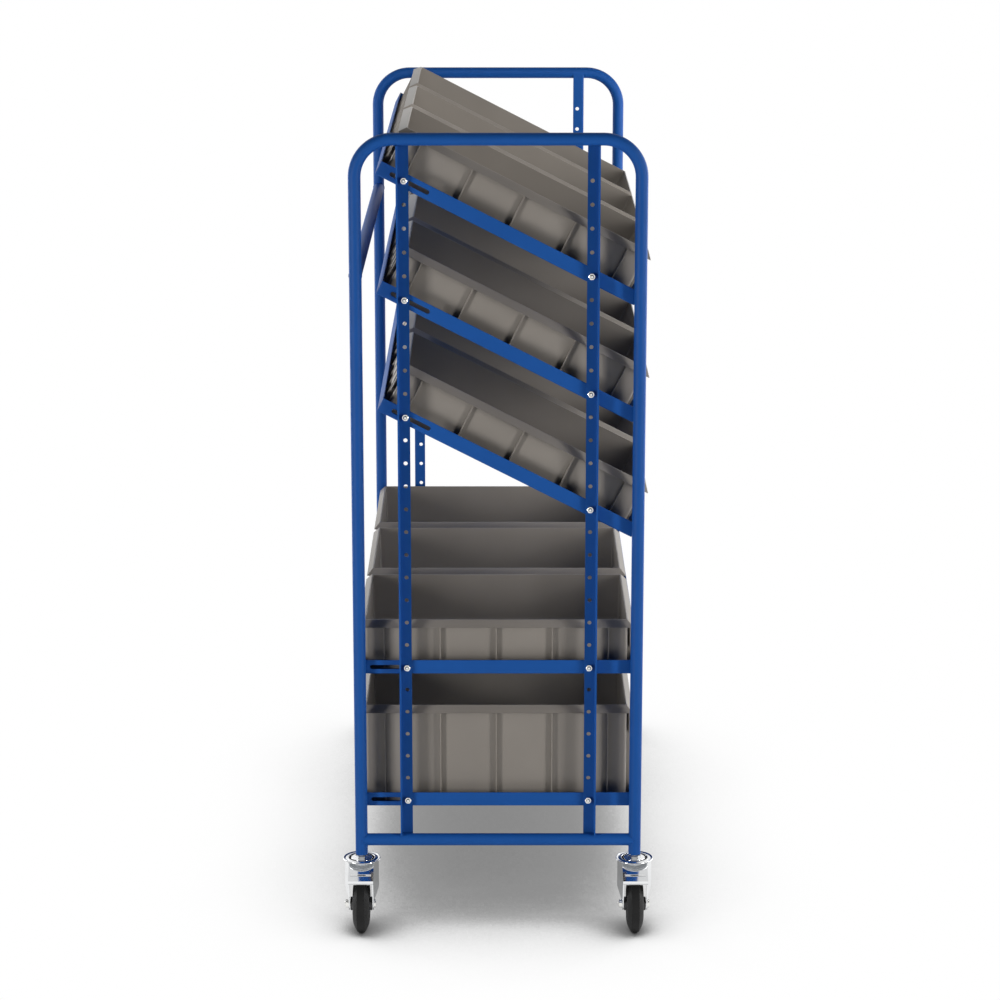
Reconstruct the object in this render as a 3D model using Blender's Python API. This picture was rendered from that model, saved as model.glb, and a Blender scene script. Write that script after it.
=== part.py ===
"""Order picking trolley: two tube end frames on swivel casters, five shelves and fifteen containers.

Sizes are in metres. +Z is up, +X is the picking side, where the tilted shelves are lowest, and +Y runs
along the shelves. The origin is on the floor under the middle of the trolley. Left is the -Y end, as
seen by somebody who stands on the picking side.
"""

import math

import bmesh
import bpy
from mathutils import Matrix, Vector

# Fits
FIT_GAP = 0.0003
CUT_OVERRUN = 0.002
FUSE_SINK = 0.0005

# End frames: a bent tube hoop and a cross tube at each end, and one tie tube along the rear
TUBE_DIAMETER = 0.0269
TUBE_WALL = 0.0015
TUBE_SIDES = 12
HOOP_BEND_RADIUS = 0.080
HOOP_BEND_STEPS = 5
FOOT_BELOW_CROSS = 0.033
TIE_BELOW_TOP = 0.289

# Perforated uprights, which are steel angles with one flange turned out
UPRIGHT_LEG = 0.0263
UPRIGHT_WALL = 0.0030
UPRIGHT_HOLE_DIAMETER = 0.009
UPRIGHT_HOLE_EDGE = 0.0102
HOLE_PITCH = 0.0508
HOLE_COUNT = 28
HOLE_TO_TUBE = 0.0887
HOLE_SIDES = 8

# Shelf trays
SHELF_SIDE_GAP = 0.0075
SHELF_LIP_HEIGHT = 0.031
SHELF_SHEET = 0.002
SHELF_FRONT_OVERHANG = 0.109
SLOT_WIDTH = 0.0096
SLOT_FRONT_ROOM = 0.011
SLOT_REAR_MARGIN = 0.0275
SLOT_END_STEPS = 3
# Hole numbers counted from the top, for the rear and the front bolts of each shelf
SHELF_HOLES = ((0, 4), (5, 9), (10, 14), (21, 21), (27, 27))

# Bolts with their nuts
BOLT_DIAMETER = 0.008
BOLT_HEAD_ACROSS_FLATS = 0.013
BOLT_HEAD_HEIGHT = 0.0053
NUT_HEIGHT = 0.0065
BOLT_TIP_LENGTH = 0.0015

# Containers
BIN_RIM_LENGTH = 0.600
BIN_RIM_WIDTH = 0.400
BIN_LOW_HEIGHT = 0.1125
BIN_TALL_HEIGHT = 0.222
BIN_WALL = 0.0025
BIN_FLOOR = 0.003
BINS_PER_SHELF = 3
BIN_SIDE_GAP = 0.0282
BIN_END_GAP = 0.0055
COLLAR_OUT = 0.013
COLLAR_DROP = 0.015
COLLAR_THICKNESS = 0.003
RIB_PROUD = 0.010
RIB_THICKNESS = 0.0025
RIB_FOOT = 0.004
RIB_SINK = 0.001
SIDE_RIB_PITCH = 0.1225
SIDE_RIB_COUNT = 5
END_RIB_PITCH = 0.140
END_RIB_COUNT = 3
GRIP_PROUD = 0.0105
GRIP_DROP = 0.072
GRIP_WIDTH = 0.340
BIN_SETBACK = 0.004

# Swivel casters
WHEEL_DIAMETER = 0.125
WHEEL_SIDES = 16
TYRE_WIDTH = 0.037
TYRE_TREAD_WIDTH = 0.017
TYRE_SIDE_STEPS = 4
RIM_DIAMETER = 0.070
RIM_WIDTH = 0.033
RIM_THICKNESS = 0.004
WEB_THICKNESS = 0.008
HUB_DIAMETER = 0.030
HUB_WIDTH = 0.048
HUB_SIDE_PLAY = 0.001
AXLE_DIAMETER = 0.010
AXLE_BORE_PLAY = 0.0001
AXLE_HEAD_ACROSS_FLATS = 0.016
AXLE_HEAD_HEIGHT = 0.0042
AXLE_NUT_HEIGHT = 0.0070
AXLE_TIP_LENGTH = 0.0017
AXLE_HOLE_SIDES = 12
CASTER_TRAIL = 0.040
CASTER_HEIGHT = 0.1565
HEAD_DIAMETER = 0.0836
HEAD_THICKNESS = 0.003
HEAD_SIDES = 12
SWIVEL_PLAY = 0.0012
STEM_NUT_HEIGHT = 0.0078
STEM_NUT_ACROSS_FLATS = 0.024
STEM_LENGTH = 0.040
KINGPIN_DIAMETER = 0.012
KINGPIN_PLAY = 0.0001
KINGPIN_HEAD_DIAMETER = 0.020
KINGPIN_HEAD_HEIGHT = 0.004
FORK_SHEET = 0.0025
FORK_CROWN_RADIUS = 0.0375
FORK_CROWN_LIP = 0.006
FORK_NOSE_HEIGHT = 0.033
FORK_WHEEL_PLAY = 0.003
FORK_BOSS_RADIUS = 0.014
FORK_SHOULDER_DROP = 0.0635
FORK_SLOT_WIDTH = 0.045
FORK_SLOT_HEIGHT = 0.0025
FORK_SLOT_DROP = 0.0110
CROWN_ARC_STEPS = 5
BOSS_ARC_STEPS = 4

# Places that follow from the sizes above
TUBE_RADIUS = TUBE_DIAMETER / 2
BIN_PITCH = BIN_RIM_WIDTH + BIN_SIDE_GAP
SHELF_LENGTH = BINS_PER_SHELF * BIN_PITCH + 2 * SHELF_SHEET
SHELF_DEPTH = BIN_RIM_LENGTH + 2 * (BIN_END_GAP + SHELF_SHEET)
UPRIGHT_HOLE_SPAN = SHELF_DEPTH - 2 * SHELF_FRONT_OVERHANG
SLOT_START = UPRIGHT_HOLE_SPAN - SLOT_FRONT_ROOM
SLOT_LENGTH = SHELF_DEPTH - SHELF_FRONT_OVERHANG - SLOT_REAR_MARGIN - SLOT_START
LEG_X = SHELF_DEPTH / 2 + SHELF_SIDE_GAP - TUBE_RADIUS
END_Y = SHELF_LENGTH / 2 + TUBE_RADIUS + FIT_GAP
FOOT_Z = CASTER_HEIGHT + STEM_NUT_HEIGHT + FIT_GAP
CROSS_Z = FOOT_Z + FOOT_BELOW_CROSS
TOP_Z = CROSS_Z + (HOLE_COUNT - 1) * HOLE_PITCH + 2 * HOLE_TO_TUBE
TIE_Z = TOP_Z - TIE_BELOW_TOP
FIRST_HOLE_Z = TOP_Z - HOLE_TO_TUBE
WHEEL_RADIUS = WHEEL_DIAMETER / 2

FRAME_BLUE = (0.020, 0.075, 0.290)
BIN_GREY = (0.205, 0.185, 0.160)
ZINC = (0.720, 0.720, 0.700)
CHROME = (0.800, 0.810, 0.820)
HUB_GREY = (0.030, 0.030, 0.032)
TYRE_BLACK = (0.018, 0.018, 0.018)


def clear_scene():
    for thing in list(bpy.data.objects):
        bpy.data.objects.remove(thing, do_unlink=True)


def make_material(name, colour, roughness, metallic):
    material = bpy.data.materials.new(name)
    material.use_nodes = True
    shader = material.node_tree.nodes["Principled BSDF"]
    shader.inputs["Base Color"].default_value = (*colour, 1.0)
    shader.inputs["Roughness"].default_value = roughness
    shader.inputs["Metallic"].default_value = metallic
    return material


def add_empty(name, location, turn=0.0, parent=None):
    guide = bpy.data.objects.new(name, None)
    bpy.context.collection.objects.link(guide)
    guide.location = location
    guide.rotation_euler = (0, 0, turn)
    guide.parent = parent
    return guide


def add_piece(name, mesh, material, location=(0, 0, 0), rotation=(0, 0, 0), parent=None):
    """One sub-part: an object with its own name, place and material."""
    piece = bpy.data.objects.new(name, mesh)
    bpy.context.collection.objects.link(piece)
    piece.location = location
    piece.rotation_euler = rotation
    piece.parent = parent
    if not mesh.materials:
        mesh.materials.append(material)
    return piece


def skin(name, loops, wrap=False):
    """A closed mesh through equal loops of points: end faces close it, or the last loop meets the first."""
    work = bmesh.new()
    rows = [[work.verts.new(point) for point in loop] for loop in loops]
    pairs = list(zip(rows, rows[1:]))
    if wrap:
        pairs.append((rows[-1], rows[0]))
    else:
        work.faces.new(rows[0])
        work.faces.new(rows[-1])
    for low, high in pairs:
        for here in range(len(low)):
            there = (here + 1) % len(low)
            work.faces.new((low[here], low[there], high[there], high[here]))
    bmesh.ops.recalc_face_normals(work, faces=work.faces)
    mesh = bpy.data.meshes.new(name)
    work.to_mesh(mesh)
    work.free()
    return mesh


def prism(name, outline, direction, start, end):
    """An outline of two coordinates, extruded along X, Y or Z."""
    frames = {
        "X": lambda a, b, far: (far, a, b),
        "Y": lambda a, b, far: (a, far, b),
        "Z": lambda a, b, far: (a, b, far),
    }
    place = frames[direction]
    return skin(name, [[place(a, b, far) for a, b in outline] for far in (start, end)])


def ring(radius, sides, height, turn=0.0):
    """A level loop of points round Z."""
    steps = [2 * math.pi * (step + turn) / sides for step in range(sides)]
    return [(radius * math.cos(angle), radius * math.sin(angle), height) for angle in steps]


def lathe(name, profile, sides, turn=0.0, wrap=False):
    """A profile of radius and height, turned round Z."""
    return skin(name, [ring(radius, sides, height, turn) for radius, height in profile], wrap)


def joined(name, meshes):
    """Several meshes as one, still as separate bodies."""
    work = bmesh.new()
    for mesh in meshes:
        work.from_mesh(mesh)
    whole = bpy.data.meshes.new(name)
    work.to_mesh(whole)
    work.free()
    return whole


def moved(mesh, matrix):
    mesh.transform(matrix)
    return mesh


def carved(mesh, operation, tool_mesh):
    """The mesh after an exact Boolean with the tool."""
    piece = bpy.data.objects.new(mesh.name, mesh)
    tool = bpy.data.objects.new(tool_mesh.name, tool_mesh)
    for thing in (piece, tool):
        bpy.context.collection.objects.link(thing)
    tool.hide_render = True
    tool.display_type = "WIRE"
    change = piece.modifiers.new(operation.lower(), "BOOLEAN")
    change.operation = operation
    change.solver = "EXACT"
    change.object = tool
    graph = bpy.context.evaluated_depsgraph_get()
    result = bpy.data.meshes.new_from_object(piece.evaluated_get(graph))
    result.name = mesh.name
    bpy.data.objects.remove(piece, do_unlink=True)
    bpy.data.objects.remove(tool, do_unlink=True)
    return result


# Frame


def hoop_path():
    """Centre line of the bent tube, with the inward normal at each point, from one foot to the other."""
    side_z = TOP_Z - HOOP_BEND_RADIUS
    centre_x = LEG_X - HOOP_BEND_RADIUS
    path = [((-LEG_X, FOOT_Z), (1.0, 0.0))]
    for side in (-1, 1):
        for step in range(HOOP_BEND_STEPS + 1):
            count = step if side < 0 else HOOP_BEND_STEPS - step
            angle = math.pi / 2 * count / HOOP_BEND_STEPS
            out_x = side * math.cos(angle)
            out_z = math.sin(angle)
            middle = (side * centre_x + HOOP_BEND_RADIUS * out_x, side_z + HOOP_BEND_RADIUS * out_z)
            path.append((middle, (-out_x, -out_z)))
    path.append(((LEG_X, FOOT_Z), (-1.0, 0.0)))
    return path


def tube_ring(middle, normal, radius):
    """A loop of points round a centre line that lies in the XZ plane."""
    loop = []
    for step in range(TUBE_SIDES):
        angle = 2 * math.pi * step / TUBE_SIDES
        inward = radius * math.cos(angle)
        loop.append(
            (middle[0] + inward * normal[0], radius * math.sin(angle), middle[1] + inward * normal[1])
        )
    return loop


def hoop_mesh():
    path = hoop_path()
    inner_radius = TUBE_RADIUS - TUBE_WALL
    outside = [tube_ring(middle, normal, TUBE_RADIUS) for middle, normal in path]
    inside = [tube_ring(middle, normal, inner_radius) for middle, normal in reversed(path)]
    return skin("hoop", outside + inside, wrap=True)


def cope_cutter(start, end, axis, place):
    """A bar along X or Z, a fit gap thicker than a tube, that makes room for it."""
    radius = TUBE_RADIUS + FIT_GAP
    cutter = lathe("cope", [(radius, start), (radius, end)], TUBE_SIDES)
    if axis == "X":
        moved(cutter, Matrix.Rotation(math.pi / 2, 4, "Y"))
    return moved(cutter, Matrix.Translation(place))


def coped_tube_mesh(name, half_span, axis):
    """A straight tube along X or Y whose ends fit round the legs at plus and minus half_span."""
    profile = [
        (TUBE_RADIUS, -half_span),
        (TUBE_RADIUS, half_span),
        (TUBE_RADIUS - TUBE_WALL, half_span),
        (TUBE_RADIUS - TUBE_WALL, -half_span),
    ]
    tube = lathe(name, profile, TUBE_SIDES, wrap=True)
    turn = Matrix.Rotation(math.pi / 2, 4, "Y" if axis == "X" else "X")
    moved(tube, turn)
    copes = []
    for side in (-1, 1):
        place = (side * half_span, 0, 0) if axis == "X" else (0, side * half_span, 0)
        copes.append(cope_cutter(-TUBE_DIAMETER, TUBE_DIAMETER, "Z", place))
    return carved(tube, "DIFFERENCE", joined("copes", copes))


def upright_mesh(bolted_holes=()):
    """A steel angle for the -Y end and the +X side, with the tube plane at Y = 0.

    The bolts of the holes that are named are part of it, each with its nut sunk into the steel.
    """
    hole_x = UPRIGHT_HOLE_SPAN / 2
    low_x = hole_x - UPRIGHT_HOLE_EDGE
    high_x = low_x + UPRIGHT_LEG
    inner_y = TUBE_RADIUS
    outer_y = inner_y - UPRIGHT_LEG
    outline = [
        (low_x, inner_y),
        (high_x, inner_y),
        (high_x, outer_y),
        (high_x - UPRIGHT_WALL, outer_y),
        (high_x - UPRIGHT_WALL, inner_y - UPRIGHT_WALL),
        (low_x, inner_y - UPRIGHT_WALL),
    ]
    bar = prism("upright", outline, "Z", CROSS_Z, TOP_Z)
    drills = []
    for number in range(HOLE_COUNT):
        drill = lathe(
            "drill",
            [
                (UPRIGHT_HOLE_DIAMETER / 2, -UPRIGHT_WALL - CUT_OVERRUN),
                (UPRIGHT_HOLE_DIAMETER / 2, CUT_OVERRUN),
            ],
            HOLE_SIDES,
            turn=1 / 2,
        )
        height = FIRST_HOLE_Z - number * HOLE_PITCH
        place = Matrix.Translation((hole_x, inner_y, height)) @ Matrix.Rotation(-math.pi / 2, 4, "X")
        drills.append(moved(drill, place))
    bar = carved(bar, "DIFFERENCE", joined("drills", drills))
    reach = high_x + CUT_OVERRUN
    ends = [cope_cutter(-reach, reach, "X", (0, 0, height)) for height in (CROSS_Z, TOP_Z)]
    bar = carved(bar, "DIFFERENCE", joined("copes", ends))
    if not bolted_holes:
        return bar
    grip = SHELF_SHEET + UPRIGHT_WALL + 2 * FIT_GAP - FUSE_SINK
    head_y = inner_y + SHELF_SHEET + 2 * FIT_GAP
    bolts = []
    for number in bolted_holes:
        place = Matrix.Translation((hole_x, head_y, hole_z(number)))
        bolts.append(moved(bolt_mesh("far_bolt", grip), place))
    return carved(bar, "UNION", joined("far_bolts", bolts))


def mirrored(mesh, name, along_x, along_y):
    """A copy of the mesh, mirrored across X or Y, with its faces still pointing out."""
    copy = mesh.copy()
    copy.name = name
    copy.transform(Matrix.Diagonal((-1 if along_x else 1, -1 if along_y else 1, 1, 1)))
    if along_x != along_y:
        copy.flip_normals()
    return copy


def add_frame(blue):
    hoop = hoop_mesh()
    cross = coped_tube_mesh("cross_tube", LEG_X, "X")
    plain = upright_mesh()
    for side, name in ((-1, "left"), (1, "right")):
        end = (0, side * END_Y, 0)
        add_piece(f"{name}_hoop", hoop, blue, end)
        add_piece(f"{name}_cross_tube", cross, blue, (0, side * END_Y, CROSS_Z))
        for front, place, holes in zip((-1, 1), ("rear", "front"), zip(*SHELF_HOLES)):
            upright = upright_mesh(holes) if side > 0 else plain
            mesh = mirrored(upright, f"{name}_{place}_upright", front < 0, side > 0)
            add_piece(f"{name}_{place}_upright", mesh, blue, end)
    tie = coped_tube_mesh("tie_tube", END_Y, "Y")
    add_piece("rear_tie_tube", tie, blue, (-LEG_X, 0, TIE_Z))


# Shelves


def hole_z(number):
    return FIRST_HOLE_Z - number * HOLE_PITCH


def shelf_tilt(rear_hole, front_hole):
    """Angle of a shelf whose bolts are in these holes, positive where the front is lower."""
    return math.atan2(hole_z(rear_hole) - hole_z(front_hole), UPRIGHT_HOLE_SPAN)


def slot_outline(middle_x, middle_z, length, width, steps):
    """A slot with round ends, as points of X and Z."""
    outline = []
    radius = width / 2
    for side, start in ((1, -math.pi / 2), (-1, math.pi / 2)):
        for step in range(steps + 1):
            angle = start + math.pi * step / steps
            outline.append(
                (
                    middle_x + side * (length / 2 - radius) + radius * math.cos(angle),
                    middle_z + radius * math.sin(angle),
                )
            )
    return outline


def bolt_profile(grip):
    """Bolt from its head to its tip along Z, with the nut on: the head's face is at Z = 0."""
    across = BOLT_HEAD_ACROSS_FLATS / 2 / math.cos(math.pi / 6)
    shank = BOLT_DIAMETER / 2
    return [
        (across, -BOLT_HEAD_HEIGHT),
        (across, 0),
        (shank, 0),
        (shank, grip),
        (across, grip),
        (across, grip + NUT_HEIGHT),
        (shank, grip + NUT_HEIGHT),
        (shank, grip + NUT_HEIGHT + BOLT_TIP_LENGTH),
    ]


def bolt_mesh(name, grip):
    """A bolt with its nut, along -Y, with its head's face at Y = 0."""
    return moved(lathe(name, bolt_profile(grip), 6), Matrix.Rotation(math.pi / 2, 4, "X"))


def shelf_mesh():
    """A tray with its origin on the front bolt's axis."""
    half = SHELF_LENGTH / 2
    front = SHELF_FRONT_OVERHANG
    rear = front - SHELF_DEPTH
    low = -SHELF_LIP_HEIGHT / 2
    high = SHELF_LIP_HEIGHT / 2
    sheet = SHELF_SHEET

    def level(inset, height):
        return [
            (rear + inset, inset - half, height),
            (front - inset, inset - half, height),
            (front - inset, half - inset, height),
            (rear + inset, half - inset, height),
        ]

    tray = skin("shelf", [level(0, low), level(0, high), level(sheet, high), level(sheet, low + sheet)])
    hole_radius = UPRIGHT_HOLE_DIAMETER / 2
    cuts = []
    for side in (-1, 1):
        near = side * half - CUT_OVERRUN
        far = side * half + CUT_OVERRUN
        near, far = (near, far + sheet) if side < 0 else (near - sheet, far)
        slot_x = -SLOT_START - SLOT_LENGTH / 2
        slot = slot_outline(slot_x, 0, SLOT_LENGTH, SLOT_WIDTH, SLOT_END_STEPS)
        cuts.append(prism("slot", slot, "Y", near, far))
        hole = [(x, y) for x, y, _ in ring(hole_radius, HOLE_SIDES, 0, turn=1 / 2)]
        cuts.append(prism("hole", hole, "Y", near, far))
    return carved(tray, "DIFFERENCE", joined("shelf_cuts", cuts))


def add_shelves(blue, grey, zinc):
    tray = shelf_mesh()
    low_bin = bin_mesh("low_container", BIN_LOW_HEIGHT)
    tall_bin = bin_mesh("tall_container", BIN_TALL_HEIGHT)
    near_grip = SHELF_SHEET + UPRIGHT_WALL + 3 * FIT_GAP
    near_y = -(SHELF_LENGTH / 2 - SHELF_SHEET - FIT_GAP)
    bolt = bolt_mesh("bolt", near_grip)
    for number, (rear_hole, front_hole) in enumerate(SHELF_HOLES, start=1):
        tilt = shelf_tilt(rear_hole, front_hole)
        front_bolt = (UPRIGHT_HOLE_SPAN / 2, 0, hole_z(front_hole))
        shelf = add_piece(f"shelf_{number}", tray, blue, front_bolt, (0, tilt, 0))
        tall = number == len(SHELF_HOLES)
        middle_x = SHELF_FRONT_OVERHANG - SHELF_DEPTH / 2 - BIN_SETBACK
        floor_z = SHELF_SHEET - SHELF_LIP_HEIGHT / 2 + FIT_GAP
        for place, name in enumerate(("left", "middle", "right")):
            middle_y = (place - (BINS_PER_SHELF - 1) / 2) * BIN_PITCH
            add_piece(
                f"container_{number}_{name}",
                tall_bin if tall else low_bin,
                grey,
                (middle_x, middle_y, floor_z),
                parent=shelf,
            )
        for name, side, hole in (("rear", -1, rear_hole), ("front", 1, front_hole)):
            place = (side * UPRIGHT_HOLE_SPAN / 2, near_y, hole_z(hole))
            add_piece(f"bolt_{number}_{name}", bolt, zinc, place)


# Containers


def collar_z(height, out):
    """Middle of the collar's sheet at a distance out from the wall."""
    return height - COLLAR_THICKNESS / 2 - out * COLLAR_DROP / COLLAR_OUT


def bin_mesh(name, height):
    """A stacking container, open on top, with a sloping collar, ribs and a grip at each short end."""
    half_x = BIN_RIM_LENGTH / 2 - COLLAR_OUT
    half_y = BIN_RIM_WIDTH / 2 - COLLAR_OUT

    def level(out, z):
        x = half_x + out
        y = half_y + out
        return [(-x, -y, z), (x, -y, z), (x, y, z), (-x, y, z)]

    under = COLLAR_OUT * (COLLAR_DROP - COLLAR_THICKNESS) / COLLAR_DROP
    shell = skin(
        name,
        [
            level(0, 0),
            level(0, height - COLLAR_THICKNESS),
            level(under, height - COLLAR_DROP),
            level(COLLAR_OUT, height - COLLAR_DROP),
            level(0, height),
            level(-BIN_WALL, height),
            level(-BIN_WALL, BIN_FLOOR),
        ],
    )

    def rib(half, side, axis, place):
        outline = [
            (side * (half - RIB_SINK), RIB_FOOT),
            (side * (half + RIB_PROUD), RIB_FOOT),
            (side * (half + RIB_PROUD), collar_z(height, RIB_PROUD)),
            (side * (half - RIB_SINK), collar_z(height, -RIB_SINK)),
        ]
        return prism("rib", outline, axis, place - RIB_THICKNESS / 2, place + RIB_THICKNESS / 2)

    ribs = []
    for side in (-1, 1):
        for number in range(SIDE_RIB_COUNT):
            place = (number - (SIDE_RIB_COUNT - 1) / 2) * SIDE_RIB_PITCH
            mesh = rib(half_y, side, "X", place)
            ribs.append(mesh)
        for number in range(END_RIB_COUNT):
            place = (number - (END_RIB_COUNT - 1) / 2) * END_RIB_PITCH
            mesh = rib(half_x, side, "Y", place)
            ribs.append(mesh)
    shell = carved(shell, "UNION", joined("ribs", ribs))
    grips = []
    for side in (-1, 1):
        inner = GRIP_PROUD - BIN_WALL
        outline = [
            (side * (half_x + inner), height - GRIP_DROP),
            (side * (half_x + GRIP_PROUD), height - GRIP_DROP),
            (side * (half_x + GRIP_PROUD), collar_z(height, GRIP_PROUD)),
            (side * (half_x + inner), collar_z(height, inner)),
        ]
        grips.append(prism("grip", outline, "Y", -GRIP_WIDTH / 2, GRIP_WIDTH / 2))
    return carved(shell, "UNION", joined("grips", grips))


# Casters


def head_mesh():
    """Swivel head: stem, nut, top disc and kingpin, round Z, with Z measured from the floor."""
    top = CASTER_HEIGHT
    under = top - HEAD_THICKNESS
    crown_top = under - SWIVEL_PLAY
    crown_under = crown_top - FORK_SHEET
    pin = KINGPIN_DIAMETER / 2
    stem = (TUBE_RADIUS - TUBE_WALL) * math.cos(math.pi / TUBE_SIDES) - FIT_GAP
    body = lathe(
        "caster_head",
        [
            (stem, top + STEM_NUT_HEIGHT + STEM_LENGTH),
            (stem, top),
            (HEAD_DIAMETER / 2 - HEAD_THICKNESS / 2, top),
            (HEAD_DIAMETER / 2, (top + under) / 2),
            (HEAD_DIAMETER / 2 - HEAD_THICKNESS / 2, under),
            (pin, under),
            (pin, crown_under - FIT_GAP),
            (KINGPIN_HEAD_DIAMETER / 2, crown_under - FIT_GAP),
            (KINGPIN_HEAD_DIAMETER / 2, crown_under - KINGPIN_HEAD_HEIGHT),
        ],
        HEAD_SIDES,
    )
    nut = lathe(
        "stem_nut",
        [
            (STEM_NUT_ACROSS_FLATS / 2 / math.cos(math.pi / 6), top - FUSE_SINK),
            (STEM_NUT_ACROSS_FLATS / 2 / math.cos(math.pi / 6), top + STEM_NUT_HEIGHT),
        ],
        6,
    )
    return carved(body, "UNION", nut)


def fork_nose():
    """Reach of the fork's front face from the swivel axis, which just clears the wheel."""
    crown_top = CASTER_HEIGHT - HEAD_THICKNESS - SWIVEL_PLAY
    above_axle = crown_top - FORK_NOSE_HEIGHT - WHEEL_RADIUS
    clear = WHEEL_RADIUS + FORK_WHEEL_PLAY
    return CASTER_TRAIL + math.sqrt(max(clear**2 - above_axle**2, 0)) + FORK_SHEET


def fork_plan(half_width, nose, radius):
    """The fork seen from above: straight beside the wheel, flared to the round crown."""
    flare = FORK_BOSS_RADIUS - CASTER_TRAIL
    outline = [(-half_width, -nose), (half_width, -nose), (half_width, flare)]
    for step in range(CROWN_ARC_STEPS + 1):
        angle = math.pi * step / CROWN_ARC_STEPS
        outline.append((radius * math.cos(angle), radius * math.sin(angle)))
    outline.append((-half_width, flare))
    return outline


def fork_mesh():
    """A pressed fork that trails towards -Y, with the swivel axis at X = Y = 0 and Z from the floor."""
    crown_top = CASTER_HEIGHT - HEAD_THICKNESS - SWIVEL_PLAY
    crown_under = crown_top - FORK_SHEET
    half_width = HUB_WIDTH / 2 + HUB_SIDE_PLAY + FORK_SHEET
    nose = fork_nose()
    foot = WHEEL_RADIUS - FORK_BOSS_RADIUS
    shell = prism("fork", fork_plan(half_width, nose, FORK_CROWN_RADIUS), "Z", foot, crown_top)
    hollow_outline = fork_plan(half_width - FORK_SHEET, nose - FORK_SHEET, FORK_CROWN_RADIUS - FORK_SHEET)
    hollow = prism("fork_hollow", hollow_outline, "Z", foot - CUT_OVERRUN, crown_under)
    shell = carved(shell, "DIFFERENCE", hollow)
    lip_z = crown_top - FORK_CROWN_LIP
    shoulder_z = crown_top - FORK_SHOULDER_DROP
    nose_z = crown_top - FORK_NOSE_HEIGHT
    out = CUT_OVERRUN
    side_view = [
        (-nose - out, crown_top + out),
        (-nose - out, nose_z),
        (-nose + FORK_SHEET + out / 2, nose_z),
    ]
    for step in range(BOSS_ARC_STEPS + 1):
        angle = math.pi + math.pi * step / BOSS_ARC_STEPS
        side_view.append(
            (
                -CASTER_TRAIL + FORK_BOSS_RADIUS * math.cos(angle),
                WHEEL_RADIUS + FORK_BOSS_RADIUS * math.sin(angle),
            )
        )
    side_view += [
        (0, shoulder_z),
        (0, lip_z),
        (FORK_CROWN_RADIUS + out, lip_z),
        (FORK_CROWN_RADIUS + out, crown_top + out),
    ]
    wide = FORK_CROWN_RADIUS + half_width
    shell = carved(shell, "INTERSECT", prism("fork_side", side_view, "X", -wide, wide))
    pin_radius = (KINGPIN_DIAMETER / 2 + KINGPIN_PLAY) / math.cos(math.pi / HEAD_SIDES)
    pin_hole = lathe(
        "pin_hole",
        [(pin_radius, crown_under - out), (pin_radius, crown_top + out)],
        HEAD_SIDES,
    )
    axle_hole = lathe(
        "axle_hole",
        [
            (AXLE_DIAMETER / 2 + FIT_GAP, -half_width - out),
            (AXLE_DIAMETER / 2 + FIT_GAP, half_width + out),
        ],
        AXLE_HOLE_SIDES,
    )
    turn = Matrix.Translation((0, -CASTER_TRAIL, WHEEL_RADIUS)) @ Matrix.Rotation(math.pi / 2, 4, "Y")
    moved(axle_hole, turn)
    slot_z = crown_top - FORK_SLOT_DROP
    slot_outline_share = ((-1, -1), (1, -1), (1, 1), (-1, 1))
    slot = prism(
        "fork_slot",
        [
            (a * FORK_SLOT_WIDTH / 2, slot_z + b * FORK_SLOT_HEIGHT / 2)
            for a, b in slot_outline_share
        ],
        "Y",
        -nose - out,
        -nose + FORK_SHEET + out,
    )
    return carved(shell, "DIFFERENCE", joined("fork_holes", [pin_hole, axle_hole, slot]))


def axle_mesh():
    """The wheel's bolt along X with its nut on the -X side, round the axle's middle."""
    ear = HUB_WIDTH / 2 + HUB_SIDE_PLAY + FORK_SHEET + FIT_GAP
    across = AXLE_HEAD_ACROSS_FLATS / 2 / math.cos(math.pi / 6)
    shank = AXLE_DIAMETER / 2
    mesh = lathe(
        "axle",
        [
            (across, ear + AXLE_HEAD_HEIGHT),
            (across, ear),
            (shank, ear),
            (shank, -ear),
            (across, -ear),
            (across, -ear - AXLE_NUT_HEIGHT),
            (shank, -ear - AXLE_NUT_HEIGHT),
            (shank, -ear - AXLE_NUT_HEIGHT - AXLE_TIP_LENGTH),
        ],
        6,
    )
    return moved(mesh, Matrix.Rotation(math.pi / 2, 4, "Y"))


def flat_bottom_radius(radius):
    """Corner radius of a wheel with flat sides whose lowest side is at the round wheel's radius."""
    return radius / math.cos(math.pi / WHEEL_SIDES)


def wheel_lathe(name, profile):
    """A wheel part along X: its profile is of radius and place across, and a flat side is lowest."""
    corners = [(flat_bottom_radius(radius), across) for radius, across in profile]
    mesh = lathe(name, corners, WHEEL_SIDES, turn=1 / 2, wrap=True)
    return moved(mesh, Matrix.Rotation(math.pi / 2, 4, "Y"))


def mirrored_profile(half):
    return half + [(radius, -across) for radius, across in reversed(half)]


def hub_mesh():
    rim = RIM_DIAMETER / 2
    return wheel_lathe(
        "hub",
        mirrored_profile(
            [
                (AXLE_DIAMETER / 2 + AXLE_BORE_PLAY, HUB_WIDTH / 2),
                (HUB_DIAMETER / 2, HUB_WIDTH / 2),
                (HUB_DIAMETER / 2, WEB_THICKNESS / 2),
                (rim - RIM_THICKNESS, RIM_WIDTH / 2),
                (rim, RIM_WIDTH / 2),
            ]
        ),
    )


def tyre_mesh():
    """A solid tyre that swells in a round line from its narrow tread to its base on the rim."""
    base_radius = RIM_DIAMETER / 2 + FIT_GAP
    swell = (TYRE_WIDTH - TYRE_TREAD_WIDTH) / 2
    half = []
    for step in range(TYRE_SIDE_STEPS, -1, -1):
        share = step / TYRE_SIDE_STEPS
        radius = WHEEL_RADIUS - share * (WHEEL_RADIUS - base_radius)
        half.append((radius, TYRE_TREAD_WIDTH / 2 + swell * math.sin(share * math.pi / 2)))
    return wheel_lathe("tyre", mirrored_profile(half))


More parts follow.
